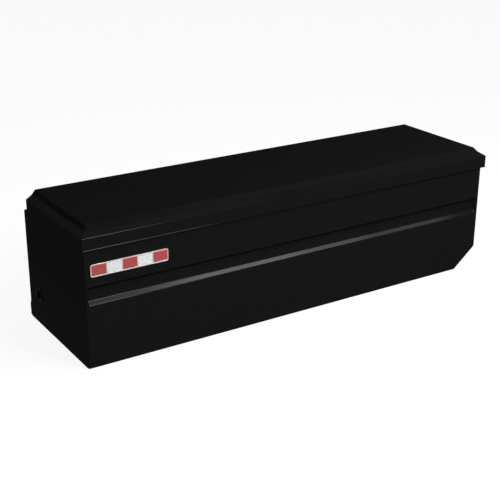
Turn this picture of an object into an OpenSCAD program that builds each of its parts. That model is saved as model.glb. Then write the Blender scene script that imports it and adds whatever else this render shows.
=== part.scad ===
// Steel chest-style tool box for a pickup bed, with a rear-hinged lid,
// gas struts, two hook latches and one push-button release.
// Origin: centre of the underside. +X along the chest, -Y is the front, +Z is up.

/* [Body] */
// Length over the two end panels
body_l = 1575; // [1300:5:1800]
// Depth from front face to rear face
body_d = 455; // [420:1:500]
// Height of the rear ledge that carries the hinge
ledge_z = 375; // [350:1:420]
// How far the sealing rim stands above the rear ledge
rim_rise = 23; // [18:0.5:30]
// Width of the sealing rim
rim_w = 28; // [24:0.5:34]
// Depth of the stiffening lip turned down from the rim
lip_h = 12; // [6:0.5:18]
// Thickness of the body and lid sheet
sheet = 2; // [1.6:0.1:2.5]
// Outside radius of the bends in the sheet
bend_r = 4; // [3:0.25:6]
// Width of the flanges turned in at the bottom edges
foot_w = 20; // [14:1:30]
// Length of the corner cut at the lower right end
cut_l = 96; // [60:1:130]
// Height of the corner cut at the lower right end
cut_h = 78; // [50:1:110]
// Depth of the rear ledge behind the lid
ledge_d = 50; // [42:1:60]
// Height of the kick rail along the foot of the rear panel
rail_h = 62; // [40:1:80]
// How far the kick rail stands behind the rear panel
rail_d = 9; // [6:0.5:14]
// Length of the gussets' legs in the front corners
gusset_leg = 60; // [40:1:80]

/* [Front groove] */
// Height of the groove's lower edge
groove_low = 207; // [150:1:230]
// Height of the groove's upper edge
groove_high = 264; // [250:1:290]
// Height of each sloping side of the groove
groove_side = 11; // [6:0.5:16]
// Depth of the groove
groove_depth = 9; // [4:0.5:14]

/* [Floor] */
// Height of the channels under the floor
channel_h = 12; // [8:0.5:20]
// Width of each channel's web
channel_w = 80; // [50:1:110]
// Width of each channel's flanges
channel_flange = 18; // [10:1:26]
// Gap between the outer floor channels and the right end panel's foot
channel_gap = 13.5; // [5:0.5:60]
// Place of the bed bolts in from the front and rear faces
bolt_in = 77.5; // [50:0.5:110]
// Diameter of the bed bolt holes
bolt_hole_d = 11; // [7:0.5:13]
// Wall of the crush sleeves at the bed bolts
sleeve_wall = 3.5; // [2:0.25:5]

/* [Lid] */
// How far the lid's skirt starts above the rear ledge
skirt_clear = 8; // [6:0.5:12]
// Height of the lid's upright skirt
skirt_h = 42; // [34:1:55]
// Lid overhang in front of the body
over_front = 12; // [8:0.5:20]
// Lid overhang at the left end
over_left = 8; // [5:0.5:20]
// Lid overhang at the right end
over_right = 8; // [5:0.5:20]
// Run of the lower slope round the lid
low_run = 21; // [14:1:26]
// Drop of the lower slope round the lid
low_drop = 14; // [8:1:20]
// Run of the upper slope round the lid
high_run = 12; // [6:1:18]
// Drop of the upper slope round the lid
high_drop = 15; // [8:1:20]
// Gap left between the lid's turned-in hem and the body
hem_gap = 2.5; // [2:0.25:4]
// Width of the hem along the lid's rear edge
rear_hem = 8; // [4:0.5:10]
// Width of the flat margin of the inner pan
pan_margin = 78; // [74:1:95]
// Thickness of the inner pan
pan_t = 1.5; // [1.2:0.1:2]
// Depth of the recess in the inner pan
pan_recess = 30; // [22:1:32]
// Width of the stiffeners between pan and skin
stiffener_w = 60; // [40:1:90]
// Width of the stiffeners' flanges
stiffener_flange = 16; // [10:1:24]
// Place of the outer stiffeners in from the end panels
stiffener_in = 307.5; // [180:0.5:400]

/* [Seal] */
// Width of the bulb seal
seal_w = 10; // [8:0.5:12]
// Diameter of the hollow in the bulb
seal_hollow_d = 5; // [3:0.5:6]
// Gap between the closed pan and the uncompressed seal
seal_clear = 0.3; // [0.2:0.05:0.5]
// Gap that the seal fills between rim and pan
seal_h = 10; // [9:0.5:12]
// Corner radius of the seal loop
seal_r = 20; // [14:1:30]

/* [Hinge] */
// Outside diameter of the knuckles
knuckle_d = 9; // [8:0.25:12]
// Diameter of the hinge pin
hinge_pin_d = 4.8; // [4:0.1:5.5]
// Width of each leaf from the pin
leaf_w = 26; // [22:1:32]
// Thickness of each leaf
leaf_t = 1.8; // [1.4:0.1:2.2]
// Number of knuckles along the hinge
knuckles = 29; // [15:2:41]
// Length of the hinge left out at each end of the lid
hinge_inset = 52; // [40:1:80]
// Gap between neighbouring knuckles
knuckle_gap = 0.6; // [0.3:0.1:1]
// Diameter of the rivet shanks
rivet_d = 4.8; // [3.2:0.1:6]
// Number of rivets in each leaf
rivets = 14; // [8:1:20]

/* [Gas struts] */
// Length of the shut strut between its pivots
strut_l = 210; // [203:1:218]
// Place of the upper strut pivot below the rim when the lid is shut
strut_drop = 3; // [1:0.5:6]
// Place of both strut pivots in front of the rear face
strut_in = 170.5; // [168:0.5:180]
// Place of the strut's middle in from the end panel's face
strut_inset = 42.5; // [39:0.5:50]
// Outside diameter of the strut's tube
tube_d = 18; // [15:0.5:20]
// Wall of the strut's tube
tube_wall = 1.5; // [1:0.1:2]
// Length of the strut's tube
tube_l = 152; // [146:1:154]
// Diameter of the strut's rod
rod_d = 8; // [6:0.5:9]
// Diameter of the pivot pins at the strut's ends
strut_pin_d = 8; // [6:0.5:9]
// Diameter of the eyes at the strut's ends
eye_d = 18; // [16:0.5:20]
// Thickness of the eyes at the strut's ends
eye_t = 8; // [6:0.5:10]
// Length of the strut's gland
gland_l = 12; // [8:0.5:14]
// Thickness of the strut's piston
piston_t = 8; // [5:0.5:9]

/* [Latches] */
// Place of each hook pin in from the end panel's face
latch_end = 227.5; // [190:0.5:450]
// Place of the hooks in from the front face
latch_in = 47.5; // [45:0.5:52]
// Place of the striker bars below the inner pan
bar_drop = 36; // [33:0.5:38]
// Diameter of the hook pins
hook_pin_d = 8; // [6:0.5:9]
// Height of the striker bar above the hook pin
bar_rise = 28; // [26:0.5:30]
// Diameter of the striker bar
bar_d = 8; // [6:0.5:9]
// Thickness of the hooks
hook_t = 6; // [4:0.5:7]
// Length of the hooks' lower arms, pin to rod
arm_l = 24; // [20:0.5:28]
// Diameter of the connecting rod
link_d = 8; // [6:0.5:9]
// Place of the connecting rod behind the hooks
link_back = 8; // [7.5:0.25:10]
// Travel of the push button
button_travel = 8; // [6:0.5:9]
// Wire of the hooks' return springs
spring_wire = 1.2; // [1:0.1:1.4]
// Turns in each return spring
spring_turns = 4; // [3:1:5]
// Number of guides for the connecting rod
guides = 4; // [2:1:5]

/* [Lock] */
// Diameter of the lock's outer flange
lock_flange_d = 46; // [40:1:56]
// Thickness of the lock's outer flange
lock_flange_t = 3; // [2:0.5:5]
// Diameter of the lock's barrel
barrel_d = 30; // [27:0.5:34]
// Length of the lock's barrel inside the panel
barrel_l = 30; // [24:1:32]
// Diameter of the push button
button_d = 22; // [20:0.5:24]
// How far the button stands out of the flange
button_out = 11; // [10:0.5:16]
// Diameter of the key cylinder
key_d = 14; // [10:0.5:15]

/* [Plug and marker] */
// Diameter of the hole for the blanking plug in the left end
plug_d = 46; // [30:1:60]
// Width of the plug's flange round the hole
plug_lip = 4; // [3:0.5:8]
// Height of the plug's middle
plug_z = 108; // [70:1:150]
// Place of the plug's middle in from the rear face
plug_in = 86; // [60:1:120]
// Length of the reflective marker on the front
marker_l = 258; // [180:1:320]
// Height of the reflective marker
marker_h = 40; // [30:1:46]
// Thickness of the marker's frame
marker_t = 2.5; // [2:0.1:4]
// Place of the marker in from the left end
marker_in = 22; // [12:1:60]
// Place of the marker's middle above the groove
marker_up = 52; // [30:1:66]
// Width of the marker's frame round the lenses
marker_rim = 3.5; // [2.5:0.25:5]
// Number of lenses in the marker
lenses = 5; // [3:2:7]

/* [Hidden] */

$fn = 48;
paint = [0.09, 0.09, 0.095];
zinc = [0.72, 0.72, 0.70];
steel = [0.55, 0.55, 0.57];
rubber = [0.05, 0.05, 0.05];
black_oxide = [0.14, 0.14, 0.15];

slack = 0.05;      // radial clearance of a pin that turns in a hole
face_gap = 0.3;    // gap between faces that slide past each other
past = 1;          // how far a cutter runs past the face it cuts
arc_steps = 4;     // flats that make up each bend in the sheet
riser_gap = 10;    // room between the lid's rear hem and the sealing rim
leg_gap = 2;       // room between a moving part and the plate beside it
plate_t = 2.5;     // thickness of the small brackets
flange_t = 3;      // thickness of the welded pads, flanges and bolt heads
head_rise = 2;     // height of the pins' set heads
chamfer = 1.5;     // chamfer round the push button

half_l = body_l / 2;
front_y = -body_d / 2;
rear_y = body_d / 2;
rim_z = ledge_z + rim_rise;
lid_rear_y = rear_y - ledge_d;
riser_y = lid_rear_y - sheet - rear_hem - riser_gap;    // rear wall of the sealing rim
mouth_rear_y = riser_y - rim_w;
mouth_front_y = front_y + rim_w;
mouth_x = half_l - rim_w;

bolt_x = half_l - cut_l - foot_w - channel_gap - channel_flange - channel_w / 2;
bolt_y = body_d / 2 - bolt_in;

skirt_z = ledge_z + skirt_clear;
crease_z = skirt_z + skirt_h;
knee_z = crease_z + low_drop;
top_z = knee_z + high_drop;
lid_left_x = -half_l - over_left;
lid_right_x = half_l + over_right;
lid_front_y = front_y - over_front;
pan_z = rim_z + seal_h;
pan_top_z = pan_z + pan_recess + pan_t;
stiffener_x = half_l - stiffener_in;

knuckle_r = knuckle_d / 2;
hinge_y = lid_rear_y + knuckle_r + face_gap;
hinge_z = ledge_z + knuckle_r + face_gap;
hinge_left_x = lid_left_x + hinge_inset;
hinge_right_x = lid_right_x - hinge_inset;
hinge_l = hinge_right_x - hinge_left_x;
knuckle_pitch = hinge_l / knuckles;
rivet_line = (leaf_w + knuckle_r) / 2 + 0.5;
rivet_head_d = 1.9 * rivet_d;
rivet_head_h = 0.4 * rivet_d;
rivet_tail_d = 1.5 * rivet_d;

strut_x = half_l - strut_inset;
strut_y = rear_y - strut_in;
strut_top_z = rim_z - strut_drop;
strut_low_z = strut_top_z - strut_l;
eye_neck = 15;                   // from the lower pivot to the foot of the tube
tube_low_z = strut_low_z + eye_neck;
tube_top_z = tube_low_z + tube_l;
tube_floor = 3;
pivot_gap = 3;                   // from the upper eye to the bracket under the lid
bracket_x = strut_x + eye_t / 2 + pivot_gap;
bracket_w = 52;
bracket_foot = 22;
post_w = 46;                     // width of the pad that carries the lower pivot

latch_x = half_l - latch_end;
latch_y = front_y + latch_in;
bar_z = pan_z - bar_drop;
hook_pin_z = bar_z - bar_rise;
link_y = latch_y + link_back;
link_z = hook_pin_z - arm_l;
bar_off = 3;                     // the striker bar lies this far left of the hook pin
hook_gap = 0.5;                  // play between the hook and the bar when latched
hook_reach = bar_z + bar_d / 2 + hook_gap - hook_pin_z;
slot_d = link_d - 1;             // width of the slots that take the rod's cross pins
cross_pin_d = slot_d - 1;
slot_run = 2;                    // how far each slot reaches past the pin's place at rest

frame_half = 33;                 // from the hook pin to the frame's side plates
frame_ear = 12;
frame_h = 28;
frame_y0 = latch_y - frame_h / 2;
frame_y1 = latch_y + 12;

guide_t = 3;
guide_h = 24;
guide_foot = 20;
guide_inset = 100;               // from the right end to the last guide
guide_start = 120;               // from the left hook to the first guide

lock_inner_x = half_l - sheet - barrel_l;
barrel_floor = 4;
stem_d = link_d + 4;             // the button's stem, through the barrel's floor
button_tail_x = lock_inner_x - leg_gap;
button_head_x = half_l + lock_flange_t + button_out;
button_back_x = lock_inner_x + barrel_floor + button_travel + 1;
nut_t = 6;
nut_w = 5;
key_slot = [9, 2.2, 12];

// ---------- helper functions for bent sheet ----------
function unit(v) = v / norm(v);
function left_of(v) = [-v[1], v[0]];

// points of the arc that rounds corner b between a and c
function corner_arc(a, b, c, r) =
    let(u = unit(a - b), v = unit(c - b),
        half = acos(max(-1, min(1, u * v))) / 2,
        centre = b + unit(u + v) * r / sin(half),
        start = b + u * r / tan(half) - centre,
        finish = b + v * r / tan(half) - centre,
        first = atan2(start[1], start[0]),
        turn = atan2(start[0] * finish[1] - start[1] * finish[0], start * finish))
    [for (i = [0 : arc_steps]) let(a = first + turn * i / arc_steps) centre + r * [cos(a), sin(a)]];

function bent(points, r) = concat([points[0]],
    [for (i = [1 : len(points) - 2]) each corner_arc(points[i - 1], points[i], points[i + 1], r)],
    [points[len(points) - 1]]);

// the same path moved sideways, mitred at its corners; positive moves to its left
function moved(points, by) = [for (i = [0 : len(points) - 1])
    let(last = len(points) - 1,
        before = left_of(unit(points[max(i, 1)] - points[max(i, 1) - 1])),
        after = left_of(unit(points[min(i, last - 1) + 1] - points[min(i, last - 1)])))
    points[i] + by * (before + after) / (1 + before * after)];

function backwards(points) = [for (i = [len(points) - 1 : -1 : 0]) points[i]];

// outline of a sheet whose outer face follows the path
function folded(points, thickness) = concat(points, backwards(moved(points, thickness)));

// ---------- helper modules ----------
// extrudes a (y, z) outline along X from x0 to x1
module along_x(x0, x1) {
    translate([x0, 0, 0]) rotate([90, 0, 90]) linear_extrude(x1 - x0) children();
}

// extrudes an (x, z) outline along Y from y0 to y1
module along_y(y0, y1) {
    translate([0, y1, 0]) rotate([90, 0, 0]) linear_extrude(y1 - y0) children();
}

module block(low, high) { translate(low) cube(high - low); }

module rod_x(x0, x1, y, z, d) {
    translate([x0, y, z]) rotate([0, 90, 0]) cylinder(h = x1 - x0, d = d);
}

module rod_y(y0, y1, x, z, d) {
    translate([x, y1, z]) rotate([90, 0, 0]) cylinder(h = y1 - y0, d = d);
}

module rod_z(z0, z1, d) { translate([0, 0, z0]) cylinder(h = z1 - z0, d = d); }

// ---------- body shell ----------
groove_path = [[front_y, groove_low], [front_y + groove_depth, groove_low + groove_side],
    [front_y + groove_depth, groove_high - groove_side], [front_y, groove_high]];
front_path = concat([[front_y + foot_w, 0], [front_y, 0]], groove_path,
    [[front_y, rim_z], [mouth_front_y, rim_z], [mouth_front_y, rim_z - lip_h]]);

// everything outside the sloping cut at the lower right corner, moved in by one sheet
cut_side = sheet / sin(atan2(cut_h, cut_l));
module beyond_cut() {
    along_y(front_y - past, rear_y + rail_d + past) polygon([
        [half_l - cut_l - cut_side, 0], [half_l - cut_side + past * cut_l / cut_h, cut_h + past],
        [half_l + past, cut_h + past], [half_l + past, -past], [half_l - cut_l - cut_side, -past]]);
}

module front_panel() {
    color(paint) difference() {
        along_x(-half_l + sheet, half_l - sheet) polygon(folded(bent(front_path, bend_r), -sheet));
        beyond_cut();
    }
}

rear_path = [[rear_y - foot_w, 0], [rear_y, 0], [rear_y, ledge_z], [riser_y, ledge_z],
    [riser_y, rim_z], [mouth_rear_y, rim_z], [mouth_rear_y, rim_z - lip_h]];

module rivet_holes_body() {
    for (i = [0 : rivets - 1])
        translate([rivet_x(i), hinge_y + rivet_line, 0])
            rod_z(ledge_z - sheet - past, ledge_z + leaf_t + past, rivet_d);
}

module rear_panel() {
    color(paint) difference() {
        along_x(-half_l + sheet, half_l - sheet) polygon(folded(bent(rear_path, bend_r), sheet));
        beyond_cut();
        rivet_holes_body();
    }
}

// outline of an end panel, seen from the side
module end_outline() {
    polygon([[front_y, 0], [rear_y, 0], [rear_y, ledge_z], [riser_y, ledge_z],
        [riser_y, rim_z], [front_y, rim_z]]);
}

// the end panels' flanges stop short of those of the front and rear panels
module flange_room() {
    block([-half_l - past, mouth_front_y, rim_z - lip_h - past],
        [half_l + past, mouth_rear_y, rim_z + past]);
    block([-half_l - past, front_y + foot_w, -past],
        [half_l + past, rear_y - foot_w, ledge_z - lip_h]);
}

module end_panel(wall_path) {
    intersection() {
        along_y(front_y, rear_y) polygon(folded(bent(wall_path, bend_r), sheet));
        union() {
            flange_room();
            children();
        }
    }
}

module left_end_panel() {
    color(paint) difference() {
        end_panel([[-half_l + rim_w, rim_z - lip_h], [-half_l + rim_w, rim_z], [-half_l, rim_z],
            [-half_l, 0], [-half_l + foot_w, 0]])
            along_x(-half_l, -half_l + sheet) end_outline();
        rod_x(-half_l - past, -half_l + sheet + past, rear_y - plug_in, plug_z, plug_d);
    }
}

module right_end_panel() {
    color(paint) difference() {
        end_panel([[half_l - cut_l - foot_w, 0], [half_l - cut_l, 0], [half_l, cut_h],
            [half_l, rim_z], [half_l - rim_w, rim_z], [half_l - rim_w, rim_z - lip_h]]) {
            along_x(half_l - sheet, half_l) end_outline();
            intersection() {
                beyond_cut();
                along_x(half_l - cut_l - foot_w, half_l) end_outline();
            }
        }
        rod_x(half_l - sheet - past, half_l + past, link_y, link_z, barrel_d + 2 * slack);
    }
}

module floor_panel() {
    floor_right_x = half_l - cut_l - cut_side + channel_h * cut_l / cut_h;
    color(paint) difference() {
        block([-half_l + sheet, front_y + sheet, channel_h],
            [floor_right_x, rear_y - sheet, channel_h + sheet]);
        bolt_holes();
    }
}

module at_bolts() {
    for (x = [-bolt_x, bolt_x], y = [-bolt_y, bolt_y]) translate([x, y, 0]) children();
}

module bolt_holes() { at_bolts() rod_z(-past, channel_h + sheet + past, bolt_hole_d); }

module floor_channel(x) {
    w = channel_w / 2;
    color(paint) difference() {
        translate([x, 0, 0]) along_y(front_y + foot_w + sheet, rear_y - foot_w - sheet)
            polygon(folded(bent([[-w - channel_flange, channel_h - sheet], [-w, channel_h - sheet], [-w, 0],
                [w, 0], [w, channel_h - sheet], [w + channel_flange, channel_h - sheet]], bend_r), sheet));
        bolt_holes();
    }
}

module bolt_sleeves() {
    color(zinc) at_bolts() difference() {
        rod_z(sheet, channel_h, bolt_hole_d + 2 * sleeve_wall);
        rod_z(sheet - past, channel_h + past, bolt_hole_d);
    }
}

module rear_kick_rail() {
    color(paint) difference() {
        along_x(-half_l + sheet, half_l) polygon(folded(bent(
            [[rear_y + rail_d, 0], [rear_y + rail_d, rail_h - 2 * rail_d],
            [rear_y + sheet, rail_h - rail_d], [rear_y + sheet, rail_h]], bend_r), sheet));
        beyond_cut();
    }
}

module corner_gussets() {
    color(paint) for (side = [-1, 1])
        translate([side * (half_l - sheet), front_y + sheet, rim_z - lip_h - sheet])
            mirror([side > 0 ? 1 : 0, 0, 0]) linear_extrude(sheet)
                polygon([[0, 0], [gusset_leg, 0], [0, gusset_leg]]);
}

// ---------- seal, plug and marker ----------
module bulb() {
    bulb_z = seal_h - seal_clear - seal_w / 2;
    difference() {
        union() {
            translate([-seal_w / 2, 0]) square([seal_w, bulb_z]);
            intersection() {
                translate([0, bulb_z]) circle(d = seal_w);
                translate([-seal_w / 2, 0]) square([seal_w, seal_h]);
            }
        }
        translate([0, bulb_z]) circle(d = seal_hollow_d);
    }
}

module rim_seal() {
    seal_x = half_l - rim_w / 2 - seal_r;
    seal_y = [front_y + rim_w / 2 + seal_r, riser_y - rim_w / 2 - seal_r];
    color(rubber) translate([0, 0, rim_z]) {
        for (side = [0, 1]) {
            translate([-seal_x, seal_y[side] + (side * 2 - 1) * seal_r, 0])
                rotate([90, 0, 90]) linear_extrude(2 * seal_x) bulb();
            translate([(side * 2 - 1) * (seal_x + seal_r), seal_y[1], 0])
                rotate([90, 0, 0]) linear_extrude(seal_y[1] - seal_y[0]) bulb();
        }
        corners = [[seal_x, seal_y[1]], [-seal_x, seal_y[1]], [-seal_x, seal_y[0]], [seal_x, seal_y[0]]];
        for (i = [0 : 3])
            translate(corners[i]) rotate([0, 0, 90 * i])
                rotate_extrude(angle = 90) translate([seal_r, 0]) bulb();
    }
}

module end_plug() {
    r = plug_d / 2;
    rim_r = r + plug_lip;
    edge = 1;
    color(rubber) translate([-half_l, rear_y - plug_in, plug_z]) rotate([0, 90, 0]) difference() {
        rotate_extrude() polygon([[0, -flange_t], [rim_r - 2 * edge, -flange_t], [rim_r, -edge],
            [rim_r, 0], [r, 0], [r, sheet], [rim_r, sheet], [rim_r - 2 * edge, sheet + flange_t],
            [0, sheet + flange_t]]);
        rod_z(-flange_t - past, -edge, plug_d - 2 * plug_lip);
    }
}

marker_x = -half_l + marker_in;
marker_z = groove_high + marker_up;
lens_l = (marker_l - marker_rim * (lenses + 1)) / lenses;

lens_h = marker_h - 2 * marker_rim;
marker_corner_r = 5.5;
lens_sink = 0.5;   // the lenses lie this far behind the frame's face

module at_lens(i) {
    translate([marker_x + marker_rim + i * (lens_l + marker_rim), 0, marker_z - lens_h / 2]) children();
}

module lens_blocks(first) {
    depth = marker_t - lens_sink;
    for (i = [first : 2 : lenses - 1])
        at_lens(i) translate([0, front_y - depth, 0]) cube([lens_l, depth, lens_h]);
}

module marker_frame() {
    color(zinc) difference() {
        along_y(front_y - marker_t, front_y)
            rounded_box([marker_x, marker_z - marker_h / 2],
                [marker_x + marker_l, marker_z + marker_h / 2], marker_corner_r);
        for (i = [0 : lenses - 1]) at_lens(i)
            translate([0, front_y - marker_t - past, 0]) cube([lens_l, marker_t + 2 * past, lens_h]);
    }
}

module rounded_box(low, high, r) {
    for (x = [low[0] + r, high[0] - r], y = [low[1] + r, high[1] - r]) translate([x, y]) circle(r = r);
    translate([low[0] + r, low[1]]) square([high[0] - low[0] - 2 * r, high[1] - low[1]]);
    translate([low[0], low[1] + r]) square([high[0] - low[0], high[1] - low[1] - 2 * r]);
}

module marker_lenses_red() { color("firebrick") lens_blocks(0); }

module marker_lenses_clear() { color("white") lens_blocks(1); }

// ---------- lid ----------
// outer face of the lid seen from the end, front to rear, and from the front, left to right
lid_side_path = [[lid_front_y, skirt_z], [lid_front_y, crease_z], [lid_front_y + low_run, knee_z],
    [lid_front_y + low_run + high_run, top_z], [lid_rear_y, top_z], [lid_rear_y, skirt_z]];
lid_long_path = [[lid_left_x, skirt_z], [lid_left_x, crease_z], [lid_left_x + low_run, knee_z],
    [lid_left_x + low_run + high_run, top_z], [lid_right_x - low_run - high_run, top_z],
    [lid_right_x - low_run, knee_z], [lid_right_x, crease_z], [lid_right_x, skirt_z]];

// the solid inside the lid's outer face, or inside its inner face when inset by one sheet
module lid_core(inset) {
    intersection() {
        along_x(lid_left_x, lid_right_x) polygon(moved(bent(lid_side_path, bend_r), -inset));
        along_y(lid_front_y, lid_rear_y) polygon(moved(bent(lid_long_path, bend_r), -inset));
    }
}

module rivet_holes_lid() {
    for (i = [0 : rivets - 1])
        rod_y(lid_rear_y - sheet - past, lid_rear_y + leaf_t + past,
            rivet_x(i), hinge_z + rivet_line, rivet_d);
}

module lid_skin() {
    color(paint) difference() {
        lid_core(0);
        difference() {
            lid_core(sheet);
            hem_ring();
        }
        block([-half_l - hem_gap, front_y - hem_gap, skirt_z - past],
            [half_l + hem_gap, lid_rear_y - rear_hem, skirt_z + sheet + past]);
        rivet_holes_lid();
    }
}

// the strip at the foot of the skirt that is folded inwards
module hem_ring() { block([lid_left_x, lid_front_y, skirt_z], [lid_right_x, lid_rear_y, skirt_z + sheet]); }

pan_low = [lid_left_x + sheet, lid_front_y + sheet];
pan_high = [lid_right_x - sheet, lid_rear_y - sheet];

module lid_pan() {
    color(paint) difference() {
        union() {
            block([pan_low[0], pan_low[1], pan_z], [pan_high[0], pan_high[1], pan_z + pan_t]);
            block([pan_low[0] + pan_margin - pan_t, pan_low[1] + pan_margin - pan_t, pan_z],
                [pan_high[0] - pan_margin + pan_t, pan_high[1] - pan_margin + pan_t, pan_top_z]);
        }
        block([pan_low[0] + pan_margin, pan_low[1] + pan_margin, pan_z - past],
            [pan_high[0] - pan_margin, pan_high[1] - pan_margin, pan_z + pan_recess]);
    }
}

module lid_stiffener(x) {
    h = top_z - sheet - pan_top_z;
    w = stiffener_w / 2;
    color(zinc) translate([x, 0, pan_top_z]) along_y(pan_low[1] + pan_margin, pan_high[1] - pan_margin)
        polygon(folded([[-w - stiffener_flange, sheet], [-w, sheet], [-w, h], [w, h], [w, sheet],
            [w + stiffener_flange, sheet]], -sheet));
}

// ---------- hinge ----------
function rivet_x(i) = hinge_left_x + (i + 0.5) * hinge_l / rivets;
function knuckle_x(i) = hinge_left_x + i * knuckle_pitch;

// each leaf ends this far from the pin's axis, and only its own knuckles reach further in
leaf_clear = knuckle_r + 2 * face_gap;
knuckle_x0 = knuckle_gap / 2;
knuckle_x1 = knuckle_pitch - knuckle_gap / 2;

module at_knuckles(first) {
    for (i = [first : 2 : knuckles - 1]) translate([knuckle_x(i), 0, 0]) children();
}

module knuckle() { rod_x(knuckle_x0, knuckle_x1, hinge_y, hinge_z, knuckle_d); }

module hinge_bore(d) {
    rod_x(hinge_left_x - past, hinge_right_x + past, hinge_y, hinge_z, d);
}

module hinge_leaf_body() {
    color(steel) difference() {
        union() {
            block([hinge_left_x, hinge_y + leaf_clear, ledge_z],
                [hinge_right_x, hinge_y + leaf_w, ledge_z + leaf_t]);
            at_knuckles(0) {
                knuckle();
                block([knuckle_x0, hinge_y, ledge_z], [knuckle_x1, hinge_y + leaf_clear, ledge_z + leaf_t]);
            }
        }
        hinge_bore(hinge_pin_d);
        rivet_holes_body();
    }
}

module hinge_leaf_lid() {
    color(steel) difference() {
        union() {
            block([hinge_left_x, lid_rear_y, hinge_z + leaf_clear],
                [hinge_right_x, lid_rear_y + leaf_t, hinge_z + leaf_w]);
            at_knuckles(1) {
                knuckle();
                block([knuckle_x0, lid_rear_y, hinge_z],
                    [knuckle_x1, lid_rear_y + leaf_t, hinge_z + leaf_clear]);
            }
        }
        hinge_bore(hinge_pin_d + 2 * slack);
        rivet_holes_lid();
    }
}

module hinge_pin() {
    color(zinc) rod_x(hinge_left_x, hinge_right_x, hinge_y, hinge_z, hinge_pin_d);
}

// a set rivet: shank through the stack, domed head on the leaf, flat tail behind
module rivet(grip) {
    translate([0, 0, -grip]) cylinder(h = grip, d = rivet_d);
    translate([0, 0, -grip - rivet_head_h]) cylinder(h = rivet_head_h, d = rivet_tail_d);
    rotate_extrude() polygon([[0, 0], [rivet_head_d / 2, 0], [rivet_head_d / 2, rivet_head_h / 3],
        [rivet_head_d / 3, rivet_head_h], [0, rivet_head_h]]);
}

module hinge_rivets_body() {
    color(zinc) for (i = [0 : rivets - 1])
        translate([rivet_x(i), hinge_y + rivet_line, ledge_z + leaf_t]) rivet(sheet + leaf_t);
}

module hinge_rivets_lid() {
    color(zinc) for (i = [0 : rivets - 1])
        translate([rivet_x(i), lid_rear_y + leaf_t, hinge_z + rivet_line])
            rotate([-90, 0, 0]) rivet(sheet + leaf_t);
}

// ---------- gas struts; side is -1 at the left end and 1 at the right ----------
module at_strut(side) { translate([side * strut_x, strut_y, 0]) children(); }

module strut_tube(side) {
    color(black_oxide) at_strut(side) difference() {
        rod_z(tube_low_z, tube_top_z, tube_d);
        rod_z(tube_low_z + tube_floor, tube_top_z + past, tube_d - 2 * tube_wall);
    }
}

module strut_eye_low(side) {
    color(zinc) at_strut(side) difference() {
        union() {
            rod_x(-eye_t / 2, eye_t / 2, 0, strut_low_z, eye_d);
            rod_z(strut_low_z, tube_low_z, eye_t);
        }
        rod_x(-eye_t / 2 - past, eye_t / 2 + past, 0, strut_low_z, strut_pin_d + 2 * slack);
    }
}

module strut_gland(side) {
    color(steel) at_strut(side) difference() {
        union() {
            rod_z(tube_top_z - gland_l, tube_top_z, tube_d - 2 * tube_wall);
            rod_z(tube_top_z, tube_top_z + head_rise, tube_d);
        }
        rod_z(tube_top_z - gland_l - past, tube_top_z + head_rise + past, rod_d + 2 * slack);
    }
}

module strut_rod(side) {
    piston_z = tube_low_z + tube_floor + leg_gap;
    color("silver") at_strut(side) {
        rod_z(piston_z, strut_top_z - eye_d / 2, rod_d);
        rod_z(piston_z, piston_z + piston_t, tube_d - 2 * tube_wall - 2 * slack);
    }
}

module strut_eye_top(side) {
    color(zinc) at_strut(side) {
        rod_x(-eye_t / 2, eye_t / 2, 0, strut_top_z, eye_d);
        mirror([side < 0 ? 1 : 0, 0, 0])
            rod_x(eye_t / 2, bracket_x - strut_x - face_gap, 0, strut_top_z, strut_pin_d);
    }
}

module strut_post(side) {
    pad_x = half_l - sheet;
    eye_in = strut_x - eye_t / 2 - face_gap;
    eye_out = strut_x + eye_t / 2 + face_gap;
    color(zinc) mirror([side < 0 ? 1 : 0, 0, 0]) {
        block([pad_x - flange_t, strut_y - post_w / 2, strut_low_z - post_w / 2],
            [pad_x, strut_y + post_w / 2, strut_low_z + post_w / 2]);
        rod_x(eye_out, pad_x - flange_t, strut_y, strut_low_z, 2 * strut_pin_d);
        rod_x(eye_in, eye_out, strut_y, strut_low_z, strut_pin_d);
        rod_x(eye_in - head_rise, eye_in, strut_y, strut_low_z, strut_pin_d + 2 * head_rise);
    }
}

module strut_bracket(side) {
    low_z = strut_top_z - eye_d / 2 - plate_t;
    color(zinc) mirror([side < 0 ? 1 : 0, 0, 0]) {
        block([bracket_x, strut_y - bracket_w / 2, low_z],
            [bracket_x + plate_t, strut_y + bracket_w / 2, pan_z]);
        block([bracket_x - bracket_foot, strut_y - bracket_w / 2, pan_z - plate_t],
            [bracket_x, strut_y + bracket_w / 2, pan_z]);
    }
}

// ---------- latches; x is the place of the hook pin ----------
module latch_frame(x) {
    back_y = front_y + sheet;
    z = frame_h / 2;
    color(zinc) translate([x, 0, hook_pin_z]) difference() {
        union() {
            block([-frame_half - frame_ear, back_y, -z], [frame_half + frame_ear, back_y + sheet, z]);
            for (side = [-1, 1]) block([side * frame_half - sheet / 2, back_y + sheet, -z],
                [side * frame_half + sheet / 2, frame_y1, z]);
            for (y = [frame_y0, frame_y1 - sheet])
                block([-frame_half, y, -z], [frame_half, y + sheet, z]);
        }
        rod_y(frame_y0 - past, frame_y1 + past, 0, 0, hook_pin_d);
    }
}

module hook_pin(x) {
    color(steel) translate([x, 0, hook_pin_z]) {
        rod_y(frame_y0, frame_y1, 0, 0, hook_pin_d);
        rod_y(frame_y1, frame_y1 + head_rise, 0, 0, hook_pin_d + 2 * head_rise);
        rod_y(frame_y0 - head_rise, frame_y0, 0, 0, hook_pin_d + 2 * head_rise);
    }
}

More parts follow.
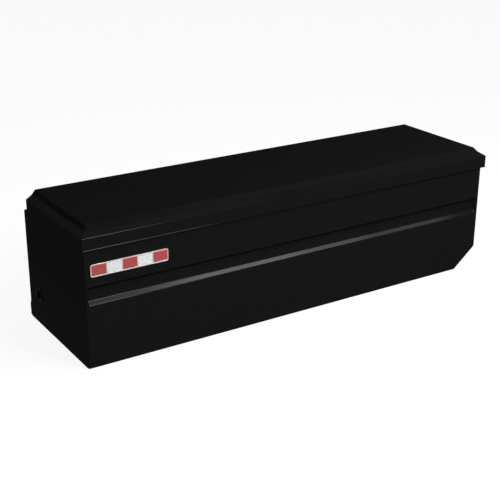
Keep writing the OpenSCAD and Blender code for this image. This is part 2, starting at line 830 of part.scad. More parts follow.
module latch_hook(x) {
    back_x = bar_d / 2 - bar_off + 1;            // the shank starts just right of the bar
    shank_w = 9;
    nose = 7;
    boss_d = hook_pin_d + 8;
    y0 = latch_y - hook_t / 2;
    y1 = latch_y + hook_t / 2;
    color(zinc) translate([x, 0, hook_pin_z]) difference() {
        union() {
            rod_y(y0, y1, 0, 0, boss_d);
            along_y(y0, y1) polygon([
                [-boss_d / 2, 0], [boss_d / 2, 0], [back_x + shank_w, hook_reach],
                [back_x + shank_w / 2, hook_reach + nose], [back_x, hook_reach + nose],
                [-nose, hook_reach + hook_t / 3], [-nose, hook_reach], [back_x, hook_reach],
                [back_x, boss_d / 2]]);
            along_y(y0, y1)
                polygon([[-boss_d / 2, 0], [-slot_d, -arm_l], [slot_d, -arm_l], [boss_d / 2, 0]]);
            rod_y(y0, y1, 0, -arm_l - slot_run / 2, 2 * slot_d);
        }
        rod_y(y0 - past, y1 + past, 0, 0, hook_pin_d + 2 * slack);
        for (drop = [0, slot_run]) rod_y(y0 - past, y1 + past, 0, -arm_l - drop, slot_d);
    }
}

// a torsion spring round the hook pin, between the frame's front plate and the hook
wire_sides = 6;
spring_steps = 16;

function spring_ring(turn, r, rise) = [for (k = [0 : wire_sides - 1])
    let(swing = 360 * k / wire_sides, out = r + spring_wire / 2 * cos(swing))
    [out * cos(turn), rise + spring_wire / 2 * sin(swing), out * sin(turn)]];

module hook_spring(x) {
    rings = spring_turns * spring_steps;
    pitch = spring_wire * 1.15;
    r = hook_pin_d / 2 + spring_wire;
    points = [for (i = [0 : rings])
        each spring_ring(360 * i / spring_steps, r, pitch * i / spring_steps)];
    sides = [for (i = [0 : rings - 1], k = [0 : wire_sides - 1]) let(next = (k + 1) % wire_sides)
        [wire_sides * i + k, wire_sides * (i + 1) + k, wire_sides * (i + 1) + next, wire_sides * i + next]];
    start = [for (k = [0 : wire_sides - 1]) k];
    finish = [for (k = [wire_sides - 1 : -1 : 0]) wire_sides * rings + k];
    color(steel) translate([x, frame_y0 + sheet + spring_wire, hook_pin_z])
        polyhedron(points, concat([start], sides, [finish]));
}

module latch_rod() {
    color(zinc) {
        rod_x(-latch_x - guide_foot, button_tail_x - face_gap, link_y, link_z, link_d);
        for (x = [-latch_x, latch_x])
            rod_y(latch_y - hook_t / 2 - leg_gap, link_y, x, link_z, cross_pin_d);
    }
}

module rod_guides() {
    first = guide_start - latch_x;
    pitch = (half_l - guide_inset - first) / (guides - 1);
    h = guide_h / 2;
    back_y = front_y + sheet;
    color(zinc) for (i = [0 : guides - 1]) translate([first + i * pitch, 0, link_z]) difference() {
        union() {
            block([-guide_t / 2, back_y, -h], [guide_t / 2, link_y + h, h]);
            block([guide_t / 2, back_y, -h], [guide_foot, back_y + plate_t, h]);
        }
        rod_x(-guide_t, guide_t, link_y, 0, link_d + 2 * slack);
    }
}

module striker(x) {
    leg_in = hook_t / 2 + 2 * leg_gap + past;
    leg_w = bar_d + 6;
    base = [24, leg_in + flange_t + 4];
    color(zinc) translate([x - bar_off, latch_y, 0]) {
        rod_y(-leg_in, leg_in, 0, bar_z, bar_d);
        for (side = [0, 1]) mirror([0, side, 0])
            block([-leg_w / 2, leg_in, bar_z - leg_w / 2],
                [leg_w / 2, leg_in + flange_t, pan_z - plate_t]);
        block([-base[0], -base[1], pan_z - plate_t], [base[0], base[1], pan_z]);
    }
}

// ---------- lock; each piece is drawn upright and then laid along X ----------
module at_lock() { translate([0, link_y, link_z]) rotate([0, 90, 0]) children(); }

module lock_housing() {
    floor_x = lock_inner_x + barrel_floor;
    color("silver") at_lock() difference() {
        union() {
            rod_z(half_l, half_l + lock_flange_t, lock_flange_d);
            rod_z(lock_inner_x, half_l, barrel_d);
        }
        rod_z(floor_x, half_l + lock_flange_t + past, button_d + 2 * slack);
        rod_z(lock_inner_x - past, floor_x + past, stem_d + 2 * slack);
    }
}

module lock_nut() {
    inner_x = half_l - sheet - nut_t;
    color(zinc) at_lock() difference() {
        rod_z(inner_x, inner_x + nut_t, barrel_d + 2 * nut_w);
        rod_z(inner_x - past, inner_x + nut_t + past, barrel_d + 2 * slack);
    }
}

module lock_button() {
    color("silver") at_lock() difference() {
        union() {
            rod_z(button_back_x, button_head_x - chamfer, button_d);
            translate([0, 0, button_head_x - chamfer])
                cylinder(h = chamfer, d1 = button_d, d2 = button_d - 2 * chamfer);
            rod_z(button_tail_x, button_back_x, stem_d);
        }
        rod_z(button_back_x + flange_t, button_head_x + past, key_d + 2 * slack);
    }
}

module key_cylinder() {
    head_x = button_head_x - face_gap;
    color(steel) at_lock() difference() {
        rod_z(button_back_x + flange_t, head_x, key_d);
        translate([-key_slot[0] / 2, -key_slot[1] / 2, head_x - key_slot[2]])
            cube([key_slot[0], key_slot[1], key_slot[2] + past]);
    }
}

front_panel();
rear_panel();
left_end_panel();
right_end_panel();
floor_panel();
floor_channel(-bolt_x);  // floor_channel_left
floor_channel(0);  // floor_channel_middle
floor_channel(bolt_x);  // floor_channel_right
bolt_sleeves();
rear_kick_rail();
corner_gussets();
rim_seal();
end_plug();
marker_frame();
marker_lenses_red();
marker_lenses_clear();
lid_skin();
lid_pan();
lid_stiffener(-stiffener_x);  // lid_stiffener_left
lid_stiffener(0);  // lid_stiffener_middle
lid_stiffener(stiffener_x);  // lid_stiffener_right
hinge_leaf_body();
hinge_leaf_lid();
hinge_pin();
hinge_rivets_body();
hinge_rivets_lid();
strut_tube(-1);  // strut_tube_left
strut_tube(1);  // strut_tube_right
strut_eye_low(-1);  // strut_eye_low_left
strut_eye_low(1);  // strut_eye_low_right
strut_gland(-1);  // strut_gland_left
strut_gland(1);  // strut_gland_right
strut_rod(-1);  // strut_rod_left
strut_rod(1);  // strut_rod_right
strut_eye_top(-1);  // strut_eye_top_left
strut_eye_top(1);  // strut_eye_top_right
strut_post(-1);  // strut_post_left
strut_post(1);  // strut_post_right
strut_bracket(-1);  // strut_bracket_left
strut_bracket(1);  // strut_bracket_right
latch_frame(-latch_x);  // latch_frame_left
latch_frame(latch_x);  // latch_frame_right
latch_hook(-latch_x);  // latch_hook_left
latch_hook(latch_x);  // latch_hook_right
hook_pin(-latch_x);  // hook_pin_left
hook_pin(latch_x);  // hook_pin_right
hook_spring(-latch_x);  // hook_spring_left
hook_spring(latch_x);  // hook_spring_right
striker(-latch_x);  // striker_left
striker(latch_x);  // striker_right
latch_rod();
rod_guides();
lock_housing();
lock_nut();
lock_button();
key_cylinder();
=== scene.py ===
# %% [markdown]
# # Truck tool box
# A long, low steel chest for a pickup bed: gloss black powder coat, a rear-hinged lid on gas
# struts, two hook latches inside and a push-button lock on the right end.
#
# Lengths are written in millimetres and turned into metres when a mesh is finished. The origin
# is the middle of the underside, +X runs along the chest, -Y is the front and +Z is up.

# %% Load the frame
import math

import bmesh
import bpy
from mathutils import Matrix, Vector


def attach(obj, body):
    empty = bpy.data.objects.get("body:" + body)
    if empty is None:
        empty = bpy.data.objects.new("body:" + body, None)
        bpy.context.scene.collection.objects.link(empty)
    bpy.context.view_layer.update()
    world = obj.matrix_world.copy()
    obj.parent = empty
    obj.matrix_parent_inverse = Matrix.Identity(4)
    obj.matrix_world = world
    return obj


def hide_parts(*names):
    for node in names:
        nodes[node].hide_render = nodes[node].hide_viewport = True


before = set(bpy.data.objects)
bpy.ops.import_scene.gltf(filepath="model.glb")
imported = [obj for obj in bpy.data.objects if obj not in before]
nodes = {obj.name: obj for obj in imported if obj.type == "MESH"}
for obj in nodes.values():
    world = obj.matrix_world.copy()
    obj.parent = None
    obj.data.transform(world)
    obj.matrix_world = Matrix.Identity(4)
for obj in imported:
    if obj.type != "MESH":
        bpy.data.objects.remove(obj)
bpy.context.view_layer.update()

# %% [markdown]
# ## Sizes
# Folded sheet is described by the planes its outer faces lie in, so a few numbers are all that
# the new pieces need. The ones that several pieces share stand here, and the others stand in
# the cell of their piece. The planes are those that the solids were built from, apart from the
# groove's, so each new piece lies where its solid does. Bends, rounded corners and other small
# forms are the scene's own.

# %% Main sizes
MM = 0.001
BODY_L, BODY_D = 1575.0, 455.0
LEDGE_Z, RIM_Z = 375.0, 398.0    # the rear ledge and the sealing rim in front of it
RISER_Y = 157.5                  # the upright face between the two
SHEET = 2.0
BEND = 4.0                       # how far a fold in the walls reaches into the flats
CUT_L, CUT_H = 96.0, 78.0        # the lower right corner that is cut away

HALF_L, FRONT_Y, REAR_Y = BODY_L / 2, -BODY_D / 2, BODY_D / 2
print(f"body {BODY_L:.0f} x {BODY_D:.0f} mm, {RIM_Z:.0f} mm up to the rim")

# %% [markdown]
# ## Camera
# A long box shows its length best from well off one end, a little above the lid. The camera
# stands beyond the front left corner with a lens about one and a half times normal, so that the
# far end shrinks only a little. Its axes are worked out from two angles and a small roll, which
# is easier to adjust than a rotation matrix.

# %% Camera
def make_camera(place, azimuth, elevation, roll, lens):
    """Adds the camera. The angles give the way it looks, in degrees."""
    data = bpy.data.cameras.new("camera")
    data.sensor_width = 36.0
    data.lens = lens
    data.clip_start, data.clip_end = 0.05, 60.0
    camera = bpy.data.objects.new("camera", data)
    bpy.context.scene.collection.objects.link(camera)
    a, e, r = (math.radians(v) for v in (azimuth, elevation, roll))
    ahead = Vector((math.sin(a) * math.cos(e), math.cos(a) * math.cos(e), -math.sin(e)))
    level = ahead.cross(Vector((0, 0, 1))).normalized()
    upward = level.cross(ahead)
    right = level * math.cos(r) + upward * math.sin(r)
    up = upward * math.cos(r) - level * math.sin(r)
    turn = Matrix((right, up, -ahead)).transposed()
    camera.matrix_world = Matrix.Translation(place) @ turn.to_4x4()
    bpy.context.scene.camera = camera
    return camera


camera = make_camera(place=(-1.9030, -2.8587, 1.5083), azimuth=32.738, elevation=21.650,
                     roll=0.25, lens=75.743)
print("camera", [round(v, 3) for v in camera.location], f"{camera.data.lens:.1f} mm")

# %% [markdown]
# ## Materials: the helpers
# A procedural material is a chain of small nodes. One function turns an sRGB code into the
# linear colour that a shader works in. One adds any node with its settings and links, so that
# each material reads as a short list. Another starts an empty material, and the last turns the
# size of a grain into the scale of a texture, so that patterns are set in real millimetres.

# %% Colour and node helpers
def linear(code):
    """The linear colour of an sRGB hex code."""
    out = []
    for i in (0, 2, 4):
        v = int(code[i : i + 2], 16) / 255
        out.append(v / 12.92 if v <= 0.04045 else ((v + 0.055) / 1.055) ** 2.4)
    return (*out, 1.0)


def add(tree, kind, sockets=None, **settings):
    """Adds a shader node. A socket's value is a number, a colour or another node's output."""
    made = tree.nodes.new("ShaderNode" + kind)
    for key, value in settings.items():
        setattr(made, key, value)
    for key, value in (sockets or {}).items():
        if isinstance(value, bpy.types.NodeSocket):
            tree.links.new(value, made.inputs[key])
        else:
            made.inputs[key].default_value = value
    return made


def new_material(name):
    """An empty material, its tree and the object coordinates that its patterns read."""
    material = bpy.data.materials.new(name)
    material.use_nodes = True
    material.node_tree.nodes.clear()
    place = add(material.node_tree, "TexCoord").outputs["Object"]
    return material, material.node_tree, place


def grains(size):
    """The texture scale at which one grain is this many millimetres."""
    return 1000.0 / size


# a Mix node names its sockets alike for numbers and for colours, so the colours go by number
MIX_A, MIX_B, MIX_OUT = 6, 7, 2
print("mid grey is", round(linear("808080")[0], 3), "in linear light")

# %% [markdown]
# ## Powder coat
# The chest is sheet steel under gloss black polyester powder, sprayed dry and baked. The eye
# sees a nearly black colour, soft highlights along folds, a fine orange peel and sheet that is
# never quite flat. One glossy surface could not be both soft and crisp, so a thin clear layer
# lies over a dull dark base. The layer carries the gloss and the peel, and both follow the slow
# waves of the sheet. The layer is weak but has a high index of refraction, so that its shine
# hardly grows where the sheet is seen at a slant.
#
# Orange peel is about 1.6 mm across. Tone and haze drift over a few centimetres, and the waves
# are as long as a hand.

# %% Powder coat
def powder_coat():
    material, tree, place = new_material("powder_coat_black")
    tint = add(tree, "TexNoise", {"Vector": place, "Scale": grains(34), "Detail": 4.0})
    colour = add(tree, "Mix", {0: tint.outputs["Fac"], MIX_A: linear("090909"),
                               MIX_B: linear("0d0d0e")}, data_type="RGBA")
    haze = add(tree, "TexNoise", {"Vector": place, "Scale": grains(60), "Detail": 3.0})
    rough = add(tree, "MapRange", {"Value": haze.outputs["Fac"], "To Min": 0.45, "To Max": 0.6})
    waves = add(tree, "TexNoise", {"Vector": place, "Scale": grains(210), "Detail": 1.0})
    wave = add(tree, "Bump", {"Height": waves.outputs["Fac"], "Distance": 0.35 * MM})
    peels = add(tree, "TexNoise", {"Vector": place, "Scale": grains(1.6), "Detail": 2.0})
    peel = add(tree, "Bump", {"Height": peels.outputs["Fac"], "Distance": 0.004 * MM,
                              "Normal": wave.outputs["Normal"]})
    shader = add(tree, "BsdfPrincipled", {
        "Base Color": colour.outputs[MIX_OUT], "Roughness": rough.outputs["Result"],
        "Specular IOR Level": 0.0, "Coat Weight": 0.016, "Coat IOR": 3.0,
        "Coat Roughness": 0.14, "Normal": wave.outputs["Normal"],
        "Coat Normal": peel.outputs["Normal"]})
    add(tree, "OutputMaterial", {"Surface": shader.outputs["BSDF"]})
    return material


coat = powder_coat()
print(coat.name)

# %% [markdown]
# ## Satin paint
# The gas struts' tubes are sprayed and stoved satin black. The eye sees one even tone with a
# broad, weak highlight down each tube. The paint is thin and has no clear layer, so a plain
# surface will do: one noise moves its tone and its roughness, and a fine grit breaks the
# highlight. The grit is drawn at 0.9 mm, coarser than the real one, so that it shows.

# %% Tube paint
def tube_paint():
    material, tree, place = new_material("satin_black_stoving_paint")
    tint = add(tree, "TexNoise", {"Vector": place, "Scale": grains(9)})
    colour = add(tree, "Mix", {0: tint.outputs["Fac"], MIX_A: linear("111112"),
                               MIX_B: linear("1b1b1d")}, data_type="RGBA")
    rough = add(tree, "MapRange", {"Value": tint.outputs["Fac"], "To Min": 0.40, "To Max": 0.56})
    grit = add(tree, "TexNoise", {"Vector": place, "Scale": grains(0.9)})
    bump = add(tree, "Bump", {"Height": grit.outputs["Fac"], "Distance": 0.01 * MM})
    shader = add(tree, "BsdfPrincipled", {
        "Base Color": colour.outputs[MIX_OUT], "Roughness": rough.outputs["Result"],
        "Specular IOR Level": 0.35, "Normal": bump.outputs["Normal"]})
    add(tree, "OutputMaterial", {"Surface": shader.outputs["BSDF"]})
    return material


tube_black = tube_paint()
print(tube_black.name)

# %% [markdown]
# ## Bright metals
# Three bare metals show on the fittings, most of them only when the lid is up. Zinc plate has
# soft mottled crystals, a few millimetres across, and a faint warm cast. Drawn steel has fine
# lines along its length. The polished chrome of the lock and the piston rods is almost a
# mirror. One function serves all three, because they differ only in colour, grain and
# roughness.

# %% Metals
def metal(name, dark, light, grain, stretch, rough_low, rough_high, depth):
    """A bare metal. Its grain and the grain's depth are in millimetres. A stretch below 1 draws
    the grain out along that axis."""
    material, tree, place = new_material(name)
    drawn = add(tree, "Mapping", {"Vector": place, "Scale": stretch})
    grit = add(tree, "TexNoise", {"Vector": drawn.outputs["Vector"], "Scale": grains(grain),
                                  "Detail": 5.0, "Roughness": 0.62})
    tint = add(tree, "TexNoise", {"Vector": place, "Scale": grains(7 * grain), "Detail": 3.0})
    colour = add(tree, "Mix", {0: tint.outputs["Fac"], MIX_A: linear(dark),
                               MIX_B: linear(light)}, data_type="RGBA")
    rough = add(tree, "MapRange", {"Value": grit.outputs["Fac"], "From Min": 0.3,
                                   "From Max": 0.7, "To Min": rough_low, "To Max": rough_high})
    bump = add(tree, "Bump", {"Height": grit.outputs["Fac"], "Distance": depth * MM})
    shader = add(tree, "BsdfPrincipled", {
        "Base Color": colour.outputs[MIX_OUT], "Metallic": 1.0,
        "Roughness": rough.outputs["Result"], "Normal": bump.outputs["Normal"]})
    add(tree, "OutputMaterial", {"Surface": shader.outputs["BSDF"]})
    return material


zinc = metal("zinc_plated_steel", "a5a39b", "cbcbc8", grain=2.6, stretch=(1, 1, 1),
             rough_low=0.26, rough_high=0.44, depth=0.006)
steel = metal("drawn_steel", "8c8d8f", "a9aaac", grain=0.8, stretch=(0.03, 1, 1),
              rough_low=0.24, rough_high=0.42, depth=0.005)
chrome = metal("polished_chrome", "c8c9cb", "dadbdc", grain=0.6, stretch=(1, 1, 0.1),
               rough_low=0.06, rough_high=0.14, depth=0.001)
print(zinc.name, steel.name, chrome.name)

# %% [markdown]
# ## Rubber
# The seal round the mouth and the plug in the left end are black rubber, moulded and then
# dulled by a bloom that comes and goes over a centimetre or so. The bloom could be painted on
# as an image, but one noise that moves both tone and roughness keeps its size on any piece.
# Rubber has hardly any shine, so it stays darker than the coat beside it.

# %% Rubber
def moulded_rubber():
    material, tree, place = new_material("moulded_black_rubber")
    bloom = add(tree, "TexNoise", {"Vector": place, "Scale": grains(11), "Detail": 5.0})
    colour = add(tree, "Mix", {0: bloom.outputs["Fac"], MIX_A: linear("050506"),
                               MIX_B: linear("0c0c0d")}, data_type="RGBA")
    rough = add(tree, "MapRange", {"Value": bloom.outputs["Fac"], "To Min": 0.62, "To Max": 0.85})
    skin = add(tree, "TexNoise", {"Vector": place, "Scale": grains(0.5)})
    bump = add(tree, "Bump", {"Height": skin.outputs["Fac"], "Distance": 0.02 * MM})
    shader = add(tree, "BsdfPrincipled", {
        "Base Color": colour.outputs[MIX_OUT], "Roughness": rough.outputs["Result"],
        "Specular IOR Level": 0.03, "Normal": bump.outputs["Normal"]})
    add(tree, "OutputMaterial", {"Surface": shader.outputs["BSDF"]})
    return material


rubber = moulded_rubber()
print(rubber.name)

# %% [markdown]
# ## Reflective lenses
# The marker strip has five acrylic lenses. Behind a smooth face each is moulded into tiny
# corner cells, which throw light straight back. From a step away the cells read as a fine
# mosaic, so a cell pattern drives both the colour and the bump, under a clear coat. The seams
# between cells are darker in the colour. The bright middle of each cell is a painted
# reflection, standing in for the light that the cell throws back. Real cells are near 1 mm and
# are drawn at 2.6 mm so that they show.

# %% Lenses
CELL = 2.6


def reflector(name, dark, light, rough):
    material, tree, place = new_material(name)
    cells = add(tree, "TexVoronoi", {"Vector": place, "Scale": grains(CELL)})
    edges = add(tree, "TexVoronoi", {"Vector": place, "Scale": grains(CELL)},
                feature="DISTANCE_TO_EDGE")
    # painted reflection: each cell is painted bright in its middle, as the light it throws back,
    # and dark at its seams
    painted_return_light = add(tree, "MapRange", {"Value": cells.outputs["Distance"], "From Min": 0.1,
                                 "From Max": 0.7})
    colour = add(tree, "Mix", {0: painted_return_light.outputs["Result"], MIX_A: linear(light),
                               MIX_B: linear(dark)}, data_type="RGBA")
    bump = add(tree, "Bump", {"Height": edges.outputs["Distance"], "Distance": 0.25 * MM})
    shader = add(tree, "BsdfPrincipled", {
        "Base Color": colour.outputs[MIX_OUT], "Roughness": rough, "Coat Weight": 0.6,
        "Coat Roughness": 0.06, "Normal": bump.outputs["Normal"]})
    add(tree, "OutputMaterial", {"Surface": shader.outputs["BSDF"]})
    return material


lens_red = reflector("reflective_acrylic_red", "7c0a10", "c81e22", rough=0.22)
lens_clear = reflector("reflective_acrylic_clear", "b9bcc0", "f0f1f3", rough=0.18)
print(lens_red.name, lens_clear.name)

# %% [markdown]
# ## Finishing a piece
# Every new piece is modelled as its outer skin alone, because that is the face a sheet-metal
# drawing gives. The Solidify modifier then grows the gauge inwards. Weighted normals make the
# large flat faces set the shading, so a fold looks crisp and the flat beside it stays flat.

# %% Finishing a piece
SHARP = math.radians(22)    # an edge that turns more than this stays crisp


def outward(shape, way):
    """Turns all faces over if most of their area looks against the given way."""
    shape.normal_update()
    if sum(f.calc_area() * f.normal.dot(Vector(way)) for f in shape.faces) < 0:
        bmesh.ops.reverse_faces(shape, faces=shape.faces)


def finish_piece(name, shape, gauge, body, replaced, finish=coat):
    """Makes a piece of this gauge from its outer skin, in millimetres, and lets it ride."""
    bmesh.ops.scale(shape, vec=(MM, MM, MM), verts=shape.verts)
    for face in shape.faces:
        face.smooth = True
    for edge in shape.edges:
        if edge.is_manifold:
            edge.smooth = edge.calc_face_angle(0.0) < SHARP
    mesh = bpy.data.meshes.new(name)
    shape.to_mesh(mesh)
    shape.free()
    mesh.materials.append(finish)
    piece = bpy.data.objects.new(name, mesh)
    bpy.context.scene.collection.objects.link(piece)
    wall = piece.modifiers.new("gauge", "SOLIDIFY")
    wall.thickness = gauge * MM
    wall.offset = -1.0
    wall.use_even_offset = True
    flat = piece.modifiers.new("flat", "WEIGHTED_NORMAL")
    flat.weight = 90
    flat.keep_sharp = True
    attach(piece, body)
    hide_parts(*replaced)
    print(name, len(mesh.polygons), "faces")


print(f"edges over {math.degrees(SHARP):.0f} degrees stay crisp")

# %% [markdown]
# ## Folding and slicing
# Two moves make nearly every form on a sheet-metal box. A fold is a straight edge, bevelled into
# a few narrow faces. A line across a flat is a cut by a plane that takes nothing away, and the
# points on it can then be moved. The other helpers here only find the edges to work on.

# %% Folding and slicing
SAME = 0.01         # points and planes closer than this, in millimetres, count as one
THROUGH = 0.001     # a cut passes through the points that lie this close to it
LEVEL = 1.0         # an edge that climbs less than this, in millimetres, counts as level
TURNS = 0.1         # a fold turns by more than this, in radians
HIP_CLIMB = 0.6     # an edge that climbs by more than this share of its length is a hip


def bend(shape, edges, offset, segments=5):
    """Rounds folds. The offset is how far the bend reaches into the flats beside it."""
    bmesh.ops.bevel(
        shape, geom=list(edges), offset=offset, offset_type="OFFSET", affect="EDGES",
        segments=segments, profile=0.5, material=-1, clamp_overlap=True,
    )


def slice_at(shape, point, normal, faces=None):
    """Adds a line of edges where a plane crosses the faces."""
    chosen = faces if faces is not None else list(shape.faces)
    geometry = dict.fromkeys(chosen)    # no doubles, as in a set, but always in the same order
    for face in chosen:
        geometry.update(dict.fromkeys([*face.edges, *face.verts]))
    bmesh.ops.bisect_plane(shape, geom=list(geometry), plane_co=point, plane_no=normal,
                           dist=THROUGH)


def rise(edge):
    """How far an edge climbs."""
    return abs(edge.verts[0].co.z - edge.verts[1].co.z)


def level_edges(shape, z, reach=SAME):
    """The edges whose ends lie within this reach of a height."""
    return [e for e in shape.edges if all(abs(v.co.z - z) < reach for v in e.verts)]


def folds_at(shape, z, reach):
    """The level folds near a height, without the hips that run up from them."""
    return [e for e in level_edges(shape, z, reach)
            if e.is_manifold and e.calc_face_angle(0.0) > TURNS
            and rise(e) < HIP_CLIMB * e.calc_length()]


print("cuts reach", THROUGH, "mm, points merge at", SAME, "mm")

# %% [markdown]
# ## Lid
# The lid's skin is one folded sheet: an upright skirt, a low slope, a steeper slope and a flat
# top, on the front and both ends, with a plain upright rear. It could be lofted from sections,
# but a block whose top face is extruded twice, each time drawn in at the front and the ends,
# gives the same planes with true hips at the corners.
#
# The hips are rounded first and the level folds last, so that each fold runs round the corner
# without a break. In between, the skirt is sliced near its foot and the part below is moved out
# a little, because a skirt swells where it is folded under. The crease above the skirt is sharp
# on the real lid, so it is not a round bend but one narrow flat, which shows as one thin line.

# %% Lid skin
LID_REAR_Y = 177.5
OVER_END, OVER_FRONT = 8.0, 12.0              # how far the lid stands past the walls
SKIRT_Z, CREASE_Z, KNEE_Z, TOP_Z = 383.0, 425.0, 439.0, 454.0
LOW_RUN, HIGH_RUN = 21.0, 12.0                # how far inwards the two slopes run
HIP_BEND = 5.0
SWELL, SWELL_FROM, SWELL_TO = 0.6, 4.4, 3.1   # how far it stands out, heights over the foot
HEM_GAP, REAR_HEM = 2.5, 10.0                 # room between hem and walls, hem at the rear
LEVEL_FOLDS = [                               # height, search reach, bend, segments
    (TOP_Z, 0.5, 3.0, 6), (KNEE_Z, 2.0, 3.0, 4), (CREASE_Z, 2.0, 0.7, 1), (SKIRT_Z, 0.4, 1.6, 6)]


def drawn_in(verts, by):
    """Moves points towards the lid's middle at the front and the ends, but not at the rear."""
    for v in verts:
        v.co.x -= by * math.copysign(1, v.co.x)
        if v.co.y < 0:
            v.co.y += by


def lid_skin():
    x0, x1 = -HALF_L - OVER_END, HALF_L + OVER_END
    y0, y1 = FRONT_Y - OVER_FRONT, LID_REAR_Y
    shape = bmesh.new()
    box = Matrix.Translation(((x0 + x1) / 2, (y0 + y1) / 2, (SKIRT_Z + CREASE_Z) / 2))
    bmesh.ops.create_cube(
        shape, size=1.0,
        matrix=box @ Matrix.Diagonal((x1 - x0, y1 - y0, CREASE_Z - SKIRT_Z, 1.0)),
    )
    top = max(shape.faces, key=lambda f: f.calc_center_median().z)
    for climb, run in ((KNEE_Z - CREASE_Z, LOW_RUN), (TOP_Z - KNEE_Z, HIGH_RUN)):
        top = bmesh.ops.extrude_discrete_faces(shape, faces=[top])["faces"][0]
        bmesh.ops.translate(shape, vec=(0, 0, climb), verts=top.verts)
        drawn_in(top.verts, run)
    bottom = min(shape.faces, key=lambda f: f.calc_center_median().z)
    bmesh.ops.delete(shape, geom=[bottom], context="FACES_ONLY")
    hips = [e for e in shape.edges
            if rise(e) > LEVEL and e.is_manifold and all(v.co.y < 0 for v in e.verts)]
    bend(shape, hips, HIP_BEND)
    for height in (SWELL_FROM, SWELL_TO):
        slice_at(shape, (0, 0, SKIRT_Z + height), (0, 0, 1))
    drawn_in([v for v in shape.verts if v.co.z < SKIRT_Z + SWELL_TO + SAME], -SWELL)
    foot = level_edges(shape, SKIRT_Z)
    hem = bmesh.ops.extrude_edge_only(shape, edges=foot)["geom"]
    for v in (g for g in hem if isinstance(g, bmesh.types.BMVert)):
        v.co.x -= math.copysign(OVER_END - HEM_GAP + SWELL, v.co.x)
        v.co.y += OVER_FRONT - HEM_GAP + SWELL if v.co.y < 0 else -REAR_HEM
    for z, reach, offset, segments in LEVEL_FOLDS:
        folds = folds_at(shape, z, reach)
        bend(shape, folds, offset, segments)
        print(f"fold at {z:.0f} mm: {len(folds)} edges")
    bmesh.ops.remove_doubles(shape, verts=shape.verts, dist=SAME)
    outward(shape, (0, 0, 1))
    finish_piece("lid_shell", shape, SHEET, "lid", ["lid_skin"])


lid_skin()

# %% [markdown]
# ## Inner pan
# Under the skin a second sheet closes the lid. A wide recess is pressed up into it, which
# stiffens it and leaves a flat margin for the seal. Insetting one face and pushing the middle
# up is how the press works too.

# %% Lid pan
PAN_Z, PAN_T, PAN_RECESS, PAN_MARGIN = 408.0, 1.5, 30.0, 78.0    # PAN_T is its gauge
PAN_CORNER, PAN_BEND = 24.0, 5.0


def lid_pan():
    x0, x1 = -HALF_L - OVER_END + SHEET, HALF_L + OVER_END - SHEET
    y0, y1 = FRONT_Y - OVER_FRONT + SHEET, LID_REAR_Y - SHEET
    shape = bmesh.new()
    box = Matrix.Translation(((x0 + x1) / 2, (y0 + y1) / 2, PAN_Z))
    bmesh.ops.create_grid(
        shape, x_segments=1, y_segments=1, size=0.5,
        matrix=box @ Matrix.Diagonal((x1 - x0, y1 - y0, 1.0, 1.0)),
    )
    middle = shape.faces[:][0]
    bmesh.ops.inset_region(shape, faces=[middle], thickness=PAN_MARGIN, use_boundary=True,
                           use_even_offset=True)
    recess = bmesh.ops.extrude_discrete_faces(shape, faces=[middle])["faces"][0]
    bmesh.ops.translate(shape, vec=(0, 0, PAN_RECESS), verts=recess.verts)
    bend(shape, [e for e in shape.edges if rise(e) > LEVEL], PAN_CORNER, segments=8)
    folds = [e for e in shape.edges if e.is_manifold and e.calc_face_angle(0.0) > math.radians(60)]
    bend(shape, folds, PAN_BEND)
    outward(shape, (0, 0, -1))
    finish_piece("lid_inner_pan", shape, PAN_T, "lid", ["lid_pan"])


lid_pan()

# %% [markdown]
# ## Chest walls
# The front, the rear and the two ends are folded sheets, welded and ground at rounded corners.
# Modelled one by one they would have to be fitted to each other at every corner, so here they
# start as one closed block: the end's outline run along the chest, with its lower right corner
# cut away. The corners are rounded, the mouth and the underside are opened, the flanges are
# turned in, and only then is the skin divided into its four sheets.

# %% One closed skin
CUT_SIDE = Vector((CUT_H, 0, -CUT_L)).normalized()
CUT_FOOT = Vector((HALF_L - CUT_L, 0, 0))


def closed_block():
    """The end's outline, run along the chest, without its lower right corner."""
    outline = [(FRONT_Y, 0), (FRONT_Y, RIM_Z), (RISER_Y, RIM_Z), (RISER_Y, LEDGE_Z),
               (REAR_Y, LEDGE_Z), (REAR_Y, 0)]
    shape = bmesh.new()
    end = shape.faces.new([shape.verts.new((-HALF_L, y, z)) for y, z in outline])
    run = bmesh.ops.extrude_face_region(shape, geom=[end], use_keep_orig=True)["geom"]
    far = [g for g in run if isinstance(g, bmesh.types.BMVert)]
    bmesh.ops.translate(shape, vec=(BODY_L, 0, 0), verts=far)
    cut = bmesh.ops.bisect_plane(
        shape, geom=shape.verts[:] + shape.edges[:] + shape.faces[:], plane_co=CUT_FOOT,
        plane_no=CUT_SIDE, clear_outer=True, dist=THROUGH,
    )["geom_cut"]
    bmesh.ops.contextual_create(shape, geom=[g for g in cut if isinstance(g, bmesh.types.BMEdge)])
    bmesh.ops.recalc_face_normals(shape, faces=shape.faces)
    return shape


walls = closed_block()
print(len(walls.faces), "faces", f"{walls.calc_volume() / 1e6:.1f} litres")

# %% [markdown]
# The upright corners have the largest radius and are rounded first. A flange is then the
# opening's edge, extruded and pulled in to a smaller rectangle. All points of a rounded corner
# come together at the rectangle's own corner, where they are merged.

# %% Corners, mouth and flanges
FRONT_R, REAR_R = 8.0, 5.0
RIM_W, LIP_H, FOOT_W = 28.0, 12.0, 20.0    # the rim, the lip at its inner edge, the foot's flange
TALL = 20.0


def upright_edges(shape, y):
    """The tall edges at both ends of the wall that lies in this plane."""
    return [e for e in shape.edges if rise(e) > TALL
            and all(abs(v.co.y - y) < SAME and abs(abs(v.co.x) - HALF_L) < SAME for v in e.verts)]


